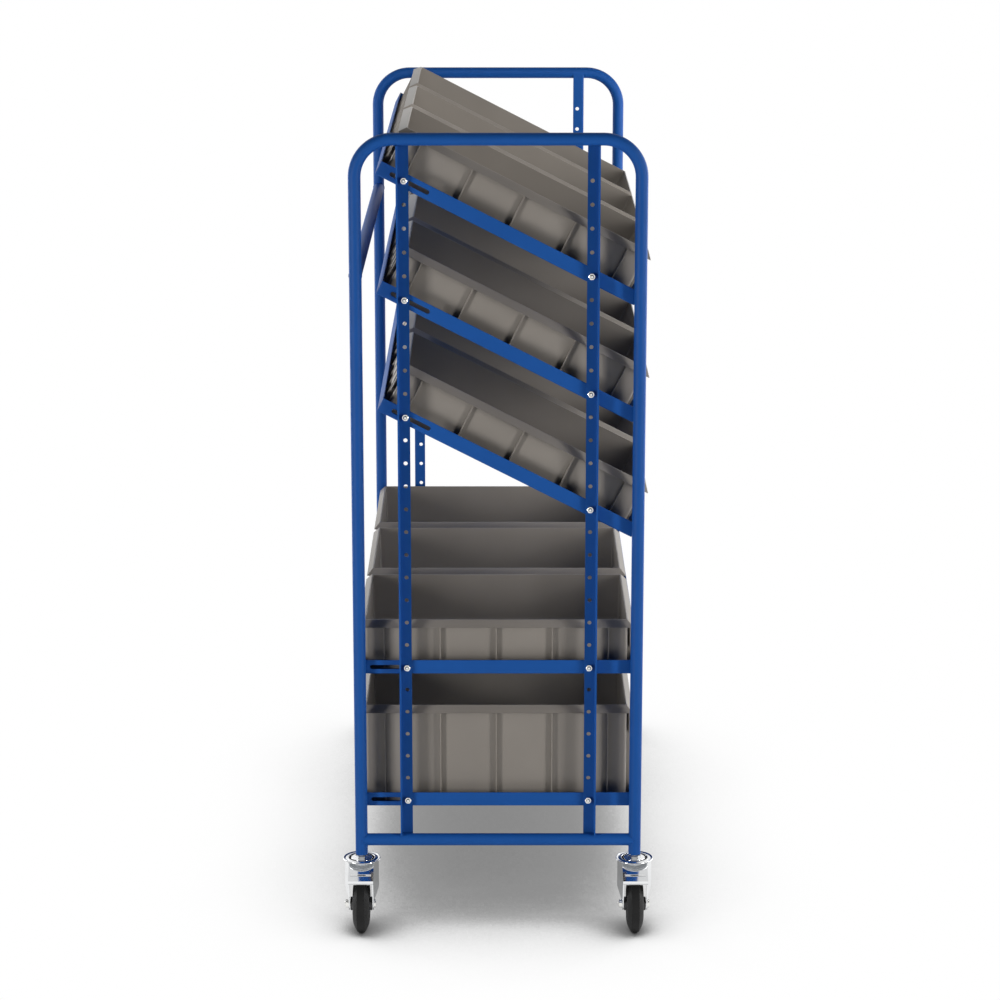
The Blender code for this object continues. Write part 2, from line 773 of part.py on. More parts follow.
def add_casters(chrome, zinc, hub_grey, rubber):
    head = head_mesh()
    fork = fork_mesh()
    axle = axle_mesh()
    hub = hub_mesh()
    tyre = tyre_mesh()
    for end, end_name in ((-1, "left"), (1, "right")):
        for side, side_name in ((-1, "rear"), (1, "front")):
            name = f"caster_{end_name}_{side_name}"
            turn = 0 if end < 0 else math.pi
            swivel = add_empty(f"{name}_swivel", (side * LEG_X, end * END_Y, 0), turn)
            spin = add_empty(f"{name}_spin", (0, -CASTER_TRAIL, WHEEL_RADIUS), parent=swivel)
            add_piece(f"{name}_head", head, chrome, parent=swivel)
            add_piece(f"{name}_fork", fork, chrome, parent=swivel)
            add_piece(f"{name}_axle", axle, zinc, parent=spin)
            add_piece(f"{name}_hub", hub, hub_grey, parent=spin)
            add_piece(f"{name}_tyre", tyre, rubber, parent=spin)


def main():
    clear_scene()
    blue = make_material("blue_powder_coat", FRAME_BLUE, 0.38, 0.0)
    grey = make_material("grey_container_plastic", BIN_GREY, 0.55, 0.0)
    zinc = make_material("zinc_fastener", ZINC, 0.30, 1.0)
    chrome = make_material("bright_chrome", CHROME, 0.12, 1.0)
    hub_grey = make_material("dark_hub_plastic", HUB_GREY, 0.50, 0.0)
    rubber = make_material("black_rubber", TYRE_BLACK, 0.75, 0.0)
    add_frame(blue)
    add_shelves(blue, grey, zinc)
    add_casters(chrome, zinc, hub_grey, rubber)


main()
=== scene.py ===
"""Dressed model of the order picking trolley: detailed pieces, materials, floor, light and camera."""

import math

import bmesh
import bpy
from mathutils import Matrix, Vector


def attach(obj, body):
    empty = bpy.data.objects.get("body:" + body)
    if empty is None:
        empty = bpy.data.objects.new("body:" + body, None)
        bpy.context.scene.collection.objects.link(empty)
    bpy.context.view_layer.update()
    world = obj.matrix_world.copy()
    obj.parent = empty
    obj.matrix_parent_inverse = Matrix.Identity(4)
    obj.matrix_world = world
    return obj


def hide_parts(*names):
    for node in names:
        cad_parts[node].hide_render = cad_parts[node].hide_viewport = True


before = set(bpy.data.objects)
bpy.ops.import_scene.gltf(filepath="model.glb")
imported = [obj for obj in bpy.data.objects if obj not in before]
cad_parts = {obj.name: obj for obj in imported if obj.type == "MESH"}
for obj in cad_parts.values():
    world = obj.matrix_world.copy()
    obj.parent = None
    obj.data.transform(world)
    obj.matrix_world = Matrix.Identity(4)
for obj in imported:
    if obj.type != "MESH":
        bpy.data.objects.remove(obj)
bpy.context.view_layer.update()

# Sizes that repeat those of the CAD model, in metres
TUBE_R = 0.01345
TUBE_WALL = 0.0015
LEG_X = 0.30155
END_Y = 0.65805
FOOT_Z = 0.1646
CROSS_Z = 0.1976
TOP_Z = 1.7466
TIE_Z = 1.4576
BEND_R = 0.080
HOLE_PITCH = 0.0508
HOLE_COUNT = 28
HOLE_R = 0.0045
HOLE_X = 0.1985
FIRST_HOLE_Z = (TOP_Z + CROSS_Z + (HOLE_COUNT - 1) * HOLE_PITCH) / 2
ANGLE_FLANGE = 0.0263
ANGLE_WALL = 0.003
ANGLE_EDGE = 0.0102
SEAT_GAP = 0.0003
SHELF_LENGTH = 2 * (END_Y - TUBE_R - SEAT_GAP)
SHELF_DEPTH = 0.615
OVERHANG = 0.109
LIP = 0.031
SHEET = 0.002
SHELF_HOLES = ((0, 4), (5, 9), (10, 14), (21, 21), (27, 27))
SLOT_X = -0.43225
SLOT_LENGTH = 0.0925
SLOT_R = 0.0048
BIN_PITCH = (SHELF_LENGTH - 2 * SHEET) / 3
BIN_SHIFT = 0.004
LOW_BIN = 0.1125
TALL_BIN = 0.222
BOLT_FLATS = 0.013
BOLT_R = 0.0040
BOLT_HEAD = 0.0053
BOLT_NUT = 0.0065
WHEEL_R = 0.0625
TYRE_HALF = 0.0185
TREAD_HALF = 0.0085
RIM_R = 0.035
RIM_HALF = 0.0165
TRAIL = 0.040
HEAD_TOP = 0.1565
STEM_R = 0.01124
STEM_TOP = 0.2043
PIN_R = 0.0060
PIN_LOW = 0.1455
CROWN_TOP = 0.1523
CROWN_DROP = 0.033
CROWN_R = 0.0375
FORK_HALF = 0.0275
FORK_SHEET = 0.0025
FORK_EAR_R = 0.014
TYRE_CLEARANCE = 0.003
AXLE_R = 0.0050
AXLE_FLATS = 0.016
BOSS_R = 0.0150
BOSS_HALF = 0.0240

# Sizes of what only the dressed part has
WELD_R = 0.0012
BROW_START = 0.019
BROW_SLOPE = math.radians(24)
GROOVE_IN = 0.0236
GROOVE_OUT = 0.0284
GROOVE_DEPTH = 0.0026
PLACES = ("left", "middle", "right")

# Stage
STRIP_REACH = 4.5
STRIP_SIZE = (0.7, 1.8)
STRIP_TARGET = (0, -0.3, 0.9)
REAR_TARGET = (0, 0.4, 0.9)
REAR_SIZE = (1.2, 2.2)
SHADOW_REACH = 0.55
# Painted shadow on the floor: the grey it is seen at for each share of open sky within the shadow reach
PAINTED_FLOOR_SHADOW_LEVELS = (
    (0.10, 0.03),
    (0.30, 0.272),
    (0.46, 0.272),
    (0.55, 0.36),
    (0.604, 0.57),
    (0.65, 0.70),
    (0.70, 0.795),
    (0.75, 0.865),
    (0.80, 0.905),
    (0.86, 0.95),
    (0.89, 0.99),
    (1.0, 1.0),
)
CONTACT_REACH = 0.12
# Painted contact shadow: a second grey, multiplied in, for each share of open sky within the contact
# reach
PAINTED_CONTACT_SHADOW_LEVELS = ((0.15, 0.25), (0.75, 0.95), (0.95, 1.0))
AMBIENT_LEVELS = ((0.0, 0.03), (0.5, 0.01), (1.0, 0.10))
MIRROR_LEVELS = ((0.0, 0.50), (0.28, 0.25), (0.40, 0.03), (0.56, 0.05), (0.67, 0.75), (0.80, 1.0))
CAMERA_TILT = 13.96

# The angle in degrees over which an edge is drawn sharp
SHARP_ANGLE = 35


# Mesh helpers


def finish_mesh(work, name, angle):
    """The mesh of a finished edit, with its faces turned outward."""
    bmesh.ops.recalc_face_normals(work, faces=work.faces)
    mesh = bpy.data.meshes.new(name)
    work.to_mesh(mesh)
    work.free()
    return smooth(mesh, angle)


def smooth(mesh, angle):
    """The mesh drawn smooth, but for edges over an angle in degrees."""
    for polygon in mesh.polygons:
        polygon.use_smooth = True
    mesh.set_sharp_from_angle(angle=math.radians(angle))
    return mesh


def skin(name, loops, wrap=False, angle=SHARP_ANGLE):
    """A skin from loop to loop, closed by an end face each or by wrapping back to the first loop."""
    work = bmesh.new()
    rows = [[work.verts.new(point) for point in loop] for loop in loops]
    pairs = list(zip(rows, rows[1:]))
    if wrap:
        pairs.append((rows[-1], rows[0]))
    else:
        work.faces.new(rows[0])
        work.faces.new(rows[-1])
    for low, high in pairs:
        for here in range(len(low)):
            there = (here + 1) % len(low)
            work.faces.new((low[here], low[there], high[there], high[here]))
    return finish_mesh(work, name, angle)


def prism(name, outline, direction, start, end, angle=SHARP_ANGLE):
    """A flat outline drawn out along an axis."""
    frames = {
        "X": lambda a, b, far: (far, a, b),
        "Y": lambda a, b, far: (a, far, b),
        "Z": lambda a, b, far: (a, b, far),
    }
    place = frames[direction]
    return skin(name, [[place(a, b, far) for a, b in outline] for far in (start, end)], angle=angle)


def ring(radius, sides, height):
    """A circle of points at a height."""
    steps = [2 * math.pi * step / sides for step in range(sides)]
    return [(radius * math.cos(angle), radius * math.sin(angle), height) for angle in steps]


def lathe(name, profile, sides, wrap=False, angle=SHARP_ANGLE):
    """A profile of radius and height turned round Z."""
    return skin(name, [ring(radius, sides, height) for radius, height in profile], wrap, angle)


def rounded(points, radius, steps=4):
    """An open profile with its inner corners rounded."""
    result = [points[0]]
    for before, here, after in zip(points, points[1:], points[2:]):
        here_v = Vector(here)
        first = Vector(before) - here_v
        second = Vector(after) - here_v
        cut = min(radius, first.length * 0.45, second.length * 0.45)
        a = here_v + first.normalized() * cut
        b = here_v + second.normalized() * cut
        for step in range(steps + 1):
            t = step / steps
            point = a * (1 - t) ** 2 + here_v * 2 * t * (1 - t) + b * t**2
            result.append((point.x, point.y))
    result.append(points[-1])
    return result


def joined(name, meshes, angle=SHARP_ANGLE):
    """Several meshes in one, each with its own closed skin."""
    work = bmesh.new()
    for mesh in meshes:
        work.from_mesh(mesh)
    whole = bpy.data.meshes.new(name)
    work.to_mesh(whole)
    work.free()
    return smooth(whole, angle)


def moved(mesh, matrix):
    """The mesh itself in its new place, with its faces still outward after a mirroring."""
    mesh.transform(matrix)
    if matrix.determinant() < 0:
        mesh.flip_normals()
    return mesh


def carved(mesh, operation, tool_mesh, angle=SHARP_ANGLE):
    """The mesh cut by, or cut down to, another mesh."""
    piece = bpy.data.objects.new(mesh.name, mesh)
    tool = bpy.data.objects.new(tool_mesh.name, tool_mesh)
    for thing in (piece, tool):
        bpy.context.collection.objects.link(thing)
    change = piece.modifiers.new("carve", "BOOLEAN")
    change.operation = operation
    change.solver = "EXACT"
    change.object = tool
    graph = bpy.context.evaluated_depsgraph_get()
    result = bpy.data.meshes.new_from_object(piece.evaluated_get(graph))
    result.name = mesh.name
    bpy.data.objects.remove(piece, do_unlink=True)
    bpy.data.objects.remove(tool, do_unlink=True)
    return smooth(result, angle)


def softened(mesh, width, segments, limit=30):
    """The mesh with its sharp edges bevelled."""
    piece = bpy.data.objects.new(mesh.name, mesh)
    bpy.context.collection.objects.link(piece)
    change = piece.modifiers.new("bevel", "BEVEL")
    change.width = width
    change.segments = segments
    change.limit_method = "ANGLE"
    change.angle_limit = math.radians(limit)
    graph = bpy.context.evaluated_depsgraph_get()
    result = bpy.data.meshes.new_from_object(piece.evaluated_get(graph))
    result.name = mesh.name
    bpy.data.objects.remove(piece, do_unlink=True)
    return smooth(result, SHARP_ANGLE)


def add(name, mesh, material, body, nodes, place):
    """A piece in its place, which rides on a body and stands for CAD nodes."""
    piece = bpy.data.objects.new(name, mesh)
    bpy.context.collection.objects.link(piece)
    piece.matrix_world = place
    if not mesh.materials:
        mesh.materials.append(material)
    bpy.context.view_layer.update()
    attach(piece, body)
    if nodes:
        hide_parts(*nodes)


# Materials


def new_material(name):
    material = bpy.data.materials.new(name)
    material.use_nodes = True
    tree = material.node_tree
    shader = tree.nodes["Principled BSDF"]
    return material, tree, shader


def link(tree, start, end):
    tree.links.new(start, end)


def add_node(tree, kind, **values):
    node = tree.nodes.new(kind)
    for key, value in values.items():
        setattr(node, key, value)
    return node


def noise(tree, scale, detail=3.0):
    """Noise in the piece's own coordinates."""
    node = add_node(tree, "ShaderNodeTexNoise")
    node.inputs["Scale"].default_value = scale
    node.inputs["Detail"].default_value = detail
    node.inputs["Roughness"].default_value = 0.55
    place = add_node(tree, "ShaderNodeTexCoord")
    link(tree, place.outputs["Object"], node.inputs["Vector"])
    return node.outputs["Fac"]


def ramp(tree, source, stops):
    node = add_node(tree, "ShaderNodeValToRGB")
    elements = node.color_ramp.elements
    while len(elements) < len(stops):
        elements.new(0.5)
    for element, (position, colour) in zip(elements, stops):
        element.position = position
        element.color = (*colour, 1.0)
    link(tree, source, node.inputs["Fac"])
    return node.outputs["Color"]


def grey_ramp(tree, source, stops):
    """A ramp of greys, from stops of a position and a level."""
    return ramp(tree, source, [(position, (level, level, level)) for position, level in stops])


def span(tree, source, low, high):
    """A value from 0 to 1 taken to lie between two others."""
    node = add_node(tree, "ShaderNodeMapRange")
    node.inputs["To Min"].default_value = low
    node.inputs["To Max"].default_value = high
    link(tree, source, node.inputs["Value"])
    return node.outputs["Result"]


def bump(tree, source, shader, strength, distance):
    node = add_node(tree, "ShaderNodeBump")
    node.inputs["Strength"].default_value = strength
    node.inputs["Distance"].default_value = distance
    link(tree, source, node.inputs["Height"])
    link(tree, node.outputs["Normal"], shader.inputs["Normal"])


def powder_coat():
    material, tree, shader = new_material("blue_powder_coat")
    broad = noise(tree, 6.0)
    colour = ramp(tree, broad, [(0.3, (0.0090, 0.084, 0.335)), (0.7, (0.0105, 0.092, 0.365))])
    link(tree, colour, shader.inputs["Base Color"])
    fine = noise(tree, 900.0, 2.0)
    link(tree, span(tree, fine, 0.46, 0.58), shader.inputs["Roughness"])
    bump(tree, fine, shader, 0.12, 0.0002)
    shader.inputs["Specular IOR Level"].default_value = 0.17
    return material


def container_plastic():
    material, tree, shader = new_material("grey_container_plastic")
    broad = noise(tree, 5.0)
    colour = ramp(tree, broad, [(0.3, (0.240, 0.216, 0.190)), (0.7, (0.268, 0.242, 0.213))])
    link(tree, colour, shader.inputs["Base Color"])
    fine = noise(tree, 1400.0, 2.0)
    link(tree, span(tree, fine, 0.30, 0.42), shader.inputs["Roughness"])
    bump(tree, fine, shader, 0.10, 0.00015)
    shader.inputs["Specular IOR Level"].default_value = 0.45
    return material


def zinc_plate():
    material, tree, shader = new_material("zinc_fastener")
    colour = ramp(tree, noise(tree, 220.0), [(0.3, (0.78, 0.78, 0.75)), (0.7, (0.88, 0.87, 0.84))])
    link(tree, colour, shader.inputs["Base Color"])
    shader.inputs["Metallic"].default_value = 1.0
    link(tree, span(tree, noise(tree, 500.0), 0.15, 0.28), shader.inputs["Roughness"])
    return material


def chrome_plate():
    material, tree, shader = new_material("bright_chrome")
    colour = ramp(tree, noise(tree, 40.0), [(0.3, (0.80, 0.81, 0.82)), (0.7, (0.87, 0.88, 0.89))])
    link(tree, colour, shader.inputs["Base Color"])
    shader.inputs["Metallic"].default_value = 1.0
    link(tree, span(tree, noise(tree, 300.0), 0.05, 0.11), shader.inputs["Roughness"])
    bump(tree, noise(tree, 60.0, 1.0), shader, 0.04, 0.0004)
    return material


def hub_plastic():
    material, tree, shader = new_material("dark_hub_plastic")
    colour = ramp(tree, noise(tree, 30.0), [(0.3, (0.045, 0.045, 0.047)), (0.7, (0.060, 0.060, 0.062))])
    link(tree, colour, shader.inputs["Base Color"])
    fine = noise(tree, 1200.0, 2.0)
    link(tree, span(tree, fine, 0.40, 0.55), shader.inputs["Roughness"])
    bump(tree, fine, shader, 0.10, 0.0002)
    return material


def tyre_rubber():
    material, tree, shader = new_material("black_rubber")
    colour = ramp(tree, noise(tree, 25.0), [(0.3, (0.010, 0.010, 0.010)), (0.7, (0.015, 0.015, 0.015))])
    link(tree, colour, shader.inputs["Base Color"])
    fine = noise(tree, 1500.0, 3.0)
    link(tree, span(tree, fine, 0.50, 0.68), shader.inputs["Roughness"])
    bump(tree, fine, shader, 0.15, 0.0002)
    shader.inputs["Specular IOR Level"].default_value = 0.20
    return material


BLUE = powder_coat()
GREY = container_plastic()
ZINC = zinc_plate()
CHROME = chrome_plate()
HUB = hub_plastic()
RUBBER = tyre_rubber()


# Frame pieces


def hole_z(number):
    """The height of a hole in the uprights, counted from the top one."""
    return FIRST_HOLE_Z - number * HOLE_PITCH


def hoop_mesh():
    """An end hoop: a tube bent from one leg over the top and down the other."""
    path = [((-LEG_X, FOOT_Z), (1.0, 0.0))]
    steps = 20
    for side in (-1, 1):
        for step in range(steps + 1):
            count = step if side < 0 else steps - step
            angle = math.pi / 2 * count / steps
            out_x = side * math.cos(angle)
            out_z = math.sin(angle)
            middle = (side * (LEG_X - BEND_R) + BEND_R * out_x, TOP_Z - BEND_R + BEND_R * out_z)
            path.append((middle, (-out_x, -out_z)))
    path.append(((LEG_X, FOOT_Z), (-1.0, 0.0)))
    sides = 40

    def loop(middle, normal, radius):
        points = []
        for step in range(sides):
            angle = 2 * math.pi * step / sides
            inward = radius * math.cos(angle)
            x = middle[0] + inward * normal[0]
            z = middle[1] + inward * normal[1]
            points.append((x, radius * math.sin(angle), z))
        return points

    outside = [loop(middle, normal, TUBE_R) for middle, normal in path]
    inside = [loop(middle, normal, TUBE_R - TUBE_WALL) for middle, normal in reversed(path)]
    return skin("hoop", outside + inside, wrap=True)


def coped_tube(name, half_span, axis):
    """A straight tube whose ends meet the legs, with a weld bead round each end."""
    sides = 48
    into_leg = 0.0006
    thin = (TUBE_R - TUBE_WALL) / TUBE_R
    outer = []
    inner = []
    for side in (-1, 1):
        row_out = []
        row_in = []
        for step in range(sides):
            angle = 2 * math.pi * step / sides
            across = TUBE_R * math.sin(angle)
            reach = math.sqrt(max(TUBE_R**2 - across**2, 0)) - into_leg
            along = side * (half_span - reach)
            height = TUBE_R * math.cos(angle)
            row_out.append((along, across, height))
            row_in.append((along, across * thin, height * thin))
        outer.append(row_out)
        inner.append(row_in)
    tube = skin(name, outer + inner[::-1], wrap=True)
    beads = []
    bead_sides = 8
    for side in (-1, 1):
        loops = []
        for step in range(sides):
            angle = 2 * math.pi * (step + 0.5) / sides
            across = TUBE_R * math.sin(angle)
            reach = math.sqrt(max(TUBE_R**2 - across**2, 0))
            centre = Vector((side * (half_span - reach), across, TUBE_R * math.cos(angle)))
            out = Vector((0, math.sin(angle), math.cos(angle)))
            back = Vector((-side, 0, 0))
            size = WELD_R * (1 + 0.10 * math.sin(step * 2.6))
            loop = []
            for turn in range(bead_sides):
                a = 2 * math.pi * turn / bead_sides
                loop.append(centre + size * (math.cos(a) * out + math.sin(a) * back))
            loops.append(loop)
        beads.append(skin("bead", loops, wrap=True, angle=60))
    whole = joined(name, [tube, *beads], 60)
    if axis == "Y":
        moved(whole, Matrix.Rotation(math.pi / 2, 4, "Z"))
    return whole


def upright_mesh():
    """The near front angle, with its holes, which ends on the cross tube and under the top bar."""
    low_x = HOLE_X - ANGLE_EDGE
    high_x = low_x + ANGLE_FLANGE
    wall = ANGLE_WALL
    inner_y = TUBE_R
    outer_y = inner_y - ANGLE_FLANGE
    bend = 0.0038
    inner_bend = 0.0012
    outline = [(low_x, inner_y)]
    for step in range(7):
        angle = math.pi / 2 * step / 6
        x = high_x - bend + bend * math.sin(angle)
        outline.append((x, inner_y - bend + bend * math.cos(angle)))
    outline += [(high_x, outer_y), (high_x - wall, outer_y)]
    for step in range(5):
        angle = math.pi / 2 * step / 4
        x = high_x - wall - inner_bend + inner_bend * math.cos(angle)
        outline.append((x, inner_y - wall - inner_bend + inner_bend * math.sin(angle)))
    outline.append((low_x, inner_y - wall))
    bar = prism("upright", outline, "Z", CROSS_Z, TOP_Z)
    drills = []
    for number in range(HOLE_COUNT):
        drill = lathe("drill", [(HOLE_R, -2 * wall), (HOLE_R, wall)], 28)
        spot = (HOLE_X, inner_y, hole_z(number))
        drills.append(moved(drill, Matrix.Translation(spot) @ Matrix.Rotation(-math.pi / 2, 4, "X")))
    bar = carved(bar, "DIFFERENCE", joined("drills", drills))
    copes = []
    over = 0.01
    cope_r = TUBE_R - 0.0002
    for height in (CROSS_Z, TOP_Z):
        cope = lathe("cope", [(cope_r, low_x - over), (cope_r, high_x + over)], 40)
        place = Matrix.Translation((0, 0, height)) @ Matrix.Rotation(math.pi / 2, 4, "Y")
        copes.append(moved(cope, place))
    bar = carved(bar, "DIFFERENCE", joined("copes", copes), 30)
    seats = []
    reach = TUBE_R - 0.0004
    web_y = inner_y - wall - 0.0002
    for low, high in ((CROSS_Z - 2 * over, CROSS_Z + reach), (TOP_Z - reach, TOP_Z + 2 * over)):
        outline = [(low_x - over, outer_y - over), (high_x + over, outer_y - over)]
        outline += [(high_x + over, web_y), (low_x - over, web_y)]
        seats.append(prism("seat", outline, "Z", low, high))
    return carved(bar, "DIFFERENCE", joined("seats", seats), 30)


def mirrored(mesh, name, along_x, along_y):
    """A copy of the mesh, turned over along X, along Y or along both."""
    copy = mesh.copy()
    copy.name = name
    return moved(copy, Matrix.Diagonal((-1 if along_x else 1, -1 if along_y else 1, 1, 1)))


def add_frame():
    """The hoops, cross tubes and uprights of both ends, and the tube that ties them at the rear."""
    hoop = hoop_mesh()
    cross = coped_tube("cross_tube", LEG_X, "X")
    upright = upright_mesh()
    for side, name in ((-1, "left"), (1, "right")):
        end = Matrix.Translation((0, side * END_Y, 0))
        add(f"{name}_hoop_tube", hoop, BLUE, "frame", [f"{name}_hoop"], end)
        low = Matrix.Translation((0, side * END_Y, CROSS_Z))
        add(f"{name}_cross_bar", cross, BLUE, "frame", [f"{name}_cross_tube"], low)
        for front, place in ((-1, "rear"), (1, "front")):
            mesh = mirrored(upright, f"{name}_{place}_angle", front < 0, side > 0)
            add(f"{name}_{place}_angle", mesh, BLUE, "frame", [f"{name}_{place}_upright"], end)
    tie = coped_tube("tie_tube", END_Y, "Y")
    place = Matrix.Translation((-LEG_X, 0, TIE_Z))
    add("rear_tie_bar", tie, BLUE, "frame", ["rear_tie_tube"], place)


# Shelves


def rounded_rectangle(low_x, high_x, low_y, high_y, radius, z, steps=4):
    """A loop of points at a height, with round corners."""
    points = []
    corners = (
        (high_x - radius, high_y - radius, 0),
        (low_x + radius, high_y - radius, 1),
        (low_x + radius, low_y + radius, 2),
        (high_x - radius, low_y + radius, 3),
    )
    for x, y, quarter in corners:
        for step in range(steps + 1):
            angle = math.pi / 2 * (quarter + step / steps)
            points.append((x + radius * math.cos(angle), y + radius * math.sin(angle), z))
    return points


def shelf_mesh():
    """A tray with its rim turned up, round its front bolts' holes, with a slot for each rear bolt."""
    half = SHELF_LENGTH / 2
    front = OVERHANG
    rear = front - SHELF_DEPTH
    low = -LIP / 2
    high = LIP / 2

    def level(inset, height):
        radius = max(0.0035 - inset, 0.0008)
        return rounded_rectangle(rear + inset, front - inset, inset - half, half - inset, radius, height)

    profile = [(0.0026, low), (0.0012, low + 0.0004), (0.0003, low + 0.0013), (0, low + 0.0028)]
    profile += [(0, high - 0.0004), (0.0004, high), (SHEET - 0.0004, high), (SHEET, high - 0.0004)]
    profile += [(SHEET, low + SHEET + 0.0012), (SHEET + 0.0012, low + SHEET)]
    tray = skin("shelf_tray", [level(inset, height) for inset, height in profile])
    cuts = []
    for side in (-1, 1):
        near = side * half - 2 * SHEET
        far = side * half + 2 * SHEET
        outline = []
        for end, start in ((1, -math.pi / 2), (-1, math.pi / 2)):
            middle = SLOT_X + end * (SLOT_LENGTH / 2 - SLOT_R)
            for step in range(11):
                angle = start + math.pi * step / 10
                outline.append((middle + SLOT_R * math.cos(angle), SLOT_R * math.sin(angle)))
        cuts.append(prism("slot", outline, "Y", near, far))
        hole = [(x, y) for x, y, _ in ring(HOLE_R, 28, 0)]
        cuts.append(prism("hole", hole, "Y", near, far))
    return carved(tray, "DIFFERENCE", joined("shelf_cuts", cuts))


def hex_nut(across_flats, height, bore=0.0):
    """A hexagon with its corners chamfered, standing on Z = 0, with a countersunk bore in its top."""
    radius = across_flats / 2 / math.cos(math.pi / 6)
    blank = lathe("nut", [(radius, 0), (radius, height)], 6, angle=20)
    face_share = 0.97
    chamfer_share = 0.62
    over_share = 1.002
    face_r = across_flats / 2 * face_share
    cone_r = radius * over_share
    chamfer = (radius - across_flats / 2) * chamfer_share
    profile = [(face_r, 0), (cone_r, chamfer), (cone_r, height - chamfer), (face_r, height)]
    nut = carved(blank, "INTERSECT", lathe("cone", profile, 48), 20)
    if bore:
        floor_share = 0.55
        sink_r = bore + 0.0014
        sink = [(bore, height * floor_share), (bore, height - 0.0012)]
        sink += [(sink_r, height + 0.0002), (sink_r, height + 0.001)]
        nut = carved(nut, "DIFFERENCE", lathe("sink", sink, 40), 20)
    return nut


def bolt_mesh(name, grip):
    """Bolt along Z from its head at Z below 0, through the grip, to its nut and thread end."""
    bore = 0.0037
    head = moved(hex_nut(BOLT_FLATS, BOLT_HEAD), Matrix.Translation((0, 0, -BOLT_HEAD)))
    nut = moved(hex_nut(BOLT_FLATS, BOLT_NUT, bore), Matrix.Translation((0, 0, grip)))
    shank_profile = [(BOLT_R, -0.001), (BOLT_R, grip + 0.0030), (0.0033, grip + 0.0045)]
    shank_profile += [(0.0032, grip + 0.0072), (0.0024, grip + 0.0080), (0.0008, grip + 0.0081)]
    shank = lathe("shank", shank_profile, 28)
    return joined(name, [head, nut, shank], 25)


def add_shelves():
    """The five trays with their containers, and the bolts at both ends of each tray."""
    tray = shelf_mesh()
    grip = SHEET + ANGLE_WALL + 3 * SEAT_GAP
    bolt = bolt_mesh("shelf_bolt", grip)
    near_y = SHELF_LENGTH / 2 - SHEET - SEAT_GAP
    low_bin = bin_mesh("low_container", LOW_BIN)
    tall_bin = bin_mesh("tall_container", TALL_BIN)
    for number, (rear_hole, front_hole) in enumerate(SHELF_HOLES, start=1):
        tilt = math.atan2(hole_z(rear_hole) - hole_z(front_hole), 2 * HOLE_X)
        place = Matrix.Translation((HOLE_X, 0, hole_z(front_hole))) @ Matrix.Rotation(tilt, 4, "Y")
        add(f"shelf_{number}_tray", tray, BLUE, "frame", [f"shelf_{number}"], place)
        floor_z = SHEET - LIP / 2 + SEAT_GAP
        middle_x = OVERHANG - SHELF_DEPTH / 2 - BIN_SHIFT
        for index, word in enumerate(PLACES):
            spot = Matrix.Translation((middle_x, (index - 1) * BIN_PITCH, floor_z))
            add(
                f"box_{number}_{word}",
                tall_bin if number == 5 else low_bin,
                GREY,
                f"container_{number}_{word}_lift",
                [f"container_{number}_{word}"],
                place @ spot,
            )
        for word, side, hole in (("rear", -1, rear_hole), ("front", 1, front_hole)):
            for end, end_word in ((-1, "left"), (1, "right")):
                turn = Matrix.Rotation(-end * math.pi / 2, 4, "X")
                spot = Matrix.Translation((side * HOLE_X, end * near_y, hole_z(hole))) @ turn
                nodes = [f"bolt_{number}_{word}"] if end < 0 else []
                name = f"{end_word}_bolt_{number}_{word}"
                add(name, bolt, ZINC, "frame", nodes, spot)


# Containers


def bin_mesh(name, height):
    """A container standing on Z = 0: its shell with the sloping collar, its ribs and its grip bands."""
    half_x = 0.287
    half_y = 0.187
    out = 0.013
    drop = 0.015
    thick = 0.003
    under = out * (drop - thick) / drop
    wall = 0.0025

    def level(offset, z, radius):
        return rounded_rectangle(
            -half_x - offset, half_x + offset, -half_y - offset, half_y + offset, radius, z, 5
        )

    shape = [
        (-0.004, 0.0004, 0.006),
        (-0.0015, 0.0, 0.0075),
        (-0.0004, 0.0008, 0.0075),
        (0.0, 0.003, 0.0075),
        (0.0, height - thick - 0.004, 0.0075),
        (0.0005, height - thick - 0.0012, 0.0060),
        (under * 0.2, height - thick - 0.0032, 0.0045),
        (under - 0.0002, height - drop, 0.0022),
        (under + 0.0002, height - drop - 0.0002, 0.0022),
        (out - 0.0004, height - drop - 0.0002, 0.0022),
        (out, height - drop + 0.0003, 0.0022),
        (0.0009, height - 0.0009, 0.0018),
        (0.0001, height - 0.0001, 0.0018),
        (-0.0005, height, 0.0018),
        (-wall + 0.0005, height, 0.0024),
        (-wall, height - 0.0006, 0.0026),
        (-wall, height - 0.004, 0.0030),
        (-wall, 0.0115, 0.0060),
        (-wall - 0.0008, 0.0075, 0.0060),
        (-wall - 0.0030, 0.0045, 0.0055),
        (-wall - 0.0070, 0.0032, 0.0045),
        (-wall - 0.0090, 0.0030, 0.0040),
    ]
    shell = skin(name, [level(offset, z, radius) for offset, z, radius in shape], angle=32)
    parts = [shell]
    edge = height - thick / 2

    def under_collar(proud):
        """The height of the collar's slope at a distance from the wall."""
        return edge - proud * drop / out

    def rib(half, side, axis, spot):
        proud = 0.010
        half_width = 0.00125
        foot = 0.004
        root = half - 0.001
        corner = 0.0015
        outline = [
            (side * root, foot),
            (side * (half + proud - corner), foot),
            (side * (half + proud), foot + corner),
            (side * (half + proud), under_collar(proud)),
            (side * root, edge),
        ]
        return softened(prism("rib", outline, axis, spot - half_width, spot + half_width), 0.0005, 2)

    long_pitch = 0.1225
    short_pitch = 0.096
    band_proud = 0.0080
    band_inner = band_proud - wall
    band_low = height - 0.072
    band_half = 0.170
    for side in (-1, 1):
        for number in range(5):
            parts.append(rib(half_y, side, "X", (number - 2) * long_pitch))
        for number in range(4):
            parts.append(rib(half_x, side, "Y", (number - 1.5) * short_pitch))
        outline = [
            (side * (half_x + band_inner), band_low),
            (side * (half_x + band_proud), band_low),
            (side * (half_x + band_proud), under_collar(band_proud)),
            (side * (half_x + band_inner), under_collar(band_inner)),
        ]
        parts.append(softened(prism("grip", outline, "Y", -band_half, band_half), 0.0006, 2))
    return joined(name, parts, 32)


# Casters


